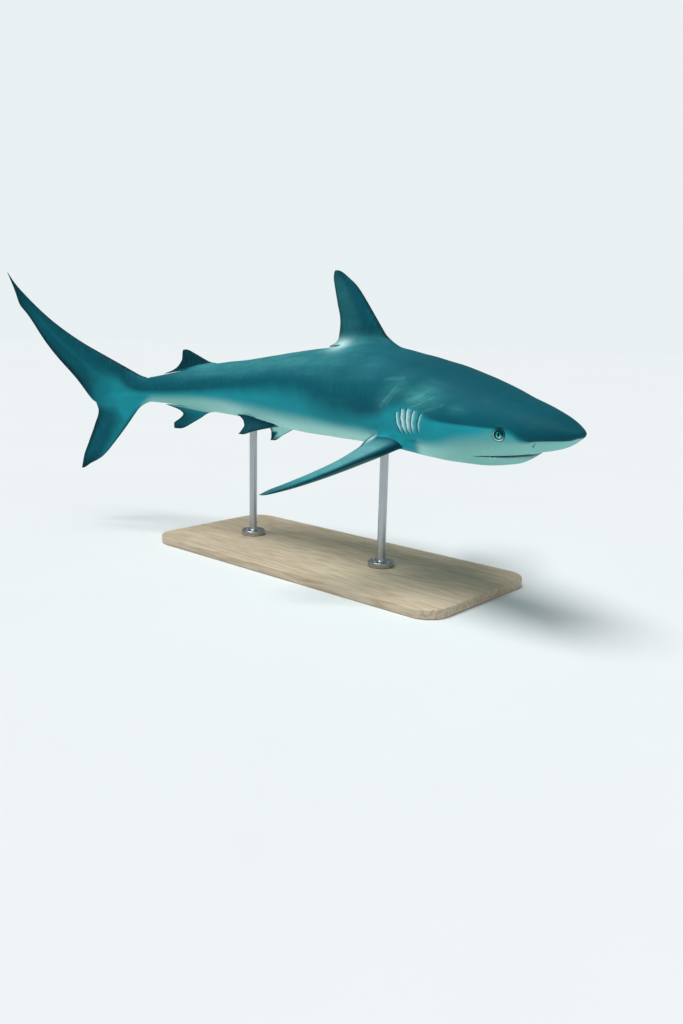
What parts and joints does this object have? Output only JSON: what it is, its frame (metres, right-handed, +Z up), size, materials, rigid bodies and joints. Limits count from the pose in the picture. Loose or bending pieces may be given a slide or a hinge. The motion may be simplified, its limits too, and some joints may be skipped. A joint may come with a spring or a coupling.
{
  "type": "reef shark",
  "caption": "Still, life-size Caribbean reef shark swimming in a gentle turn, mouth slightly open, held above a flat display base by short rods.",
  "frame": {"origin": "centre of the display base's underside, on the surface that it stands on", "axes": "+Z up, +X forward from the tail to the snout, +Y to the shark's left"},
  "size_m": [1.7803, 0.7382, 0.7637],
  "materials": {
    "skin": "satin",
    "eye": "gloss",
    "mouth_lining": "satin",
    "teeth": "satin",
    "base_board": "satin",
    "rod_steel": "satin"
  },
  "bodies": {
    "root": {"head": "skin", "lower_jaw": "skin", "gill_region": "skin", "trunk_front": "skin", "trunk_rear": "skin", "tail_stem": "skin", "caudal_upper_lobe": "skin", "caudal_lower_lobe": "skin", "dorsal_fin_first": "skin", "dorsal_fin_second": "skin", "anal_fin": "skin", "pectoral_fin_left": "skin", "pectoral_fin_right": "skin", "pelvic_fin_left": "skin", "pelvic_fin_right": "skin", "eye_left": "eye", "eye_right": "eye", "stand_base": "base_board", "stand_rod_front": "rod_steel", "stand_rod_rear": "rod_steel"}
  },
  "joints": []
}
